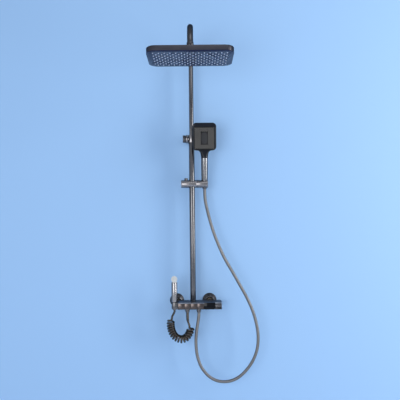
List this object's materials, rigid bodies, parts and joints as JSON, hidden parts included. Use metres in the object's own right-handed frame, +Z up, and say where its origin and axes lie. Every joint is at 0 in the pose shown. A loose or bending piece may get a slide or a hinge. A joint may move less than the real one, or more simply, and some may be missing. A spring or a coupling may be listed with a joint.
{
  "type": "shower column",
  "caption": "Wall shower column with bar valve, rain head on an arm, handset on a sliding holder and spray gun on a curly hose.",
  "frame": {"origin": "on the wall face, midway between the two inlet axes", "axes": "+X to the viewer's right, -Y out of the wall towards the user, +Z up"},
  "size_m": [0.466, 0.4928, 1.5367],
  "materials": {
    "gunmetal": "satin gunmetal plating",
    "brass_inside": "plain turned brass",
    "steel": "brushed",
    "black_plastic": "gloss black",
    "soft_grey": "soft silicone",
    "plain_plastic": "plain moulded",
    "display_glass": "gloss black window",
    "hose_metal": "wound metal hose, gunmetal",
    "coil_plastic": "gloss black curly hose",
    "pale_plastic": "pale grey gloss"
  },
  "bodies": {
    "base": {"rosettes": "gunmetal", "s_unions": "brass_inside", "union_nuts": "gunmetal", "valve_body": "gunmetal", "valve_shelf": "gunmetal", "valve_base": "gunmetal", "gun_holder": "gunmetal", "display_window": "display_glass", "diverters": "brass_inside", "key_springs": "steel", "mix_cartridge": "brass_inside", "riser_nipple": "brass_inside", "outlet_nipples": "brass_inside", "outlet_nuts": "gunmetal", "lower_tube": "gunmetal", "tube_bush": "plain_plastic", "bracket_base": "steel", "bracket_screws": "steel", "bracket_cover": "gunmetal", "bracket_arm": "gunmetal", "handset_hose": "hose_metal", "coil_hose": "coil_plastic", "coil_leads": "coil_plastic"},
    "key_a": {"key_1": "gunmetal"},
    "key_b": {"key_2": "gunmetal"},
    "key_c": {"key_3": "gunmetal"},
    "key_d": {"key_4": "gunmetal"},
    "temperature_knob": {"temp_knob": "gunmetal"},
    "riser": {"upper_tube": "gunmetal", "upper_seal": "plain_plastic", "swivel_bush": "plain_plastic"},
    "arm_body": {"arm": "gunmetal", "arm_collar": "gunmetal", "ball_stem": "steel"},
    "seat": {"ball_ring": "plain_plastic"},
    "rain_head": {"ball_nut": "gunmetal", "rain_shell": "black_plastic", "rain_plate": "black_plastic", "rain_mat": "soft_grey"},
    "lock": {"lock_knob": "gunmetal", "lock_stud": "steel"},
    "slider": {"slider_body": "gunmetal", "slider_liner": "plain_plastic", "slider_cap": "gunmetal", "cradle_pin": "steel"},
    "release_button": {"slider_button": "gunmetal"},
    "holder": {"cradle": "gunmetal"},
    "handset": {"handset_shell": "black_plastic", "handset_handle": "gunmetal", "handset_ring": "black_plastic", "handset_plate": "black_plastic", "handset_mat": "soft_grey", "handset_insert": "black_plastic", "hose_nut": "gunmetal"},
    "gun": {"gun_body": "gunmetal", "gun_head": "pale_plastic", "gun_face": "pale_plastic", "gun_pin": "steel", "gun_nut": "gunmetal"},
    "trigger": {"gun_trigger": "pale_plastic"}
  },
  "joints": [
    {"name": "key_a_press", "type": "slide", "parent": "base", "child": "key_a", "axis": [0, 1, 0], "range_m": [0, 0.003], "stiffness_N_per_m": 900, "springref_m": -0.002},
    {"name": "key_b_press", "type": "slide", "parent": "base", "child": "key_b", "axis": [0, 1, 0], "range_m": [0, 0.003], "stiffness_N_per_m": 900, "springref_m": -0.002},
    {"name": "key_c_press", "type": "slide", "parent": "base", "child": "key_c", "axis": [0, 1, 0], "range_m": [0, 0.003], "stiffness_N_per_m": 900, "springref_m": -0.002},
    {"name": "key_d_press", "type": "slide", "parent": "base", "child": "key_d", "axis": [0, 1, 0], "range_m": [0, 0.003], "stiffness_N_per_m": 900, "springref_m": -0.002},
    {"name": "temperature_turn", "type": "hinge", "parent": "base", "child": "temperature_knob", "pos_m": [0.1, -0.104, -0.0105], "axis": [1, 0, 0], "range_deg": [-130, 130]},
    {"name": "riser_slide", "type": "slide", "parent": "base", "child": "riser", "axis": [0, 0, 1], "range_m": [-0.25, 0.1]},
    {"name": "arm_swivel", "type": "hinge", "parent": "riser", "child": "arm_body", "pos_m": [0, -0.06, 1], "axis": [0, 0, 1], "range_deg": [-45, 45]},
    {"name": "head_pitch", "type": "hinge", "parent": "arm_body", "child": "seat", "pos_m": [0, -0.362, 1.042], "axis": [1, 0, 0], "range_deg": [-10, 10]},
    {"name": "head_roll", "type": "hinge", "parent": "seat", "child": "rain_head", "pos_m": [0, -0.362, 1.042], "axis": [0, 1, 0], "range_deg": [-10, 10]},
    {"name": "lock_turn", "type": "hinge", "parent": "base", "child": "lock", "pos_m": [-0.03, -0.06, 0.736], "axis": [1, 0, 0], "range_deg": [0, 180]},
    {"name": "slider_slide", "type": "slide", "parent": "base", "child": "slider", "axis": [0, 0, 1], "range_m": [-0.35, 0.15], "deforming": ["handset_hose"]},
    {"name": "button_press", "type": "slide", "parent": "slider", "child": "release_button", "axis": [0, 0, -1], "range_m": [0, 0.004], "stiffness_N_per_m": 900, "springref_m": -0.002},
    {"name": "holder_tilt", "type": "hinge", "parent": "slider", "child": "holder", "pos_m": [0.045, -0.06, 0.533], "axis": [1, 0, 0], "range_deg": [0, 35]},
    {"name": "handset_lift", "type": "slide", "parent": "holder", "child": "handset", "axis": [0, -0.2079, 0.9781], "range_m": [0, 0.07]},
    {"name": "gun_lift", "type": "slide", "parent": "base", "child": "gun", "axis": [0, 0, 1], "range_m": [0, 0.06], "deforming": ["coil_hose", "coil_leads"]},
    {"name": "trigger_press", "type": "hinge", "parent": "gun", "child": "trigger", "pos_m": [-0.083, -0.082, 0.0886], "axis": [1, 0, 0], "range_deg": [-5, 0], "stiffness_Nm_per_rad": 1, "springref_deg": 2.86}
  ]
}
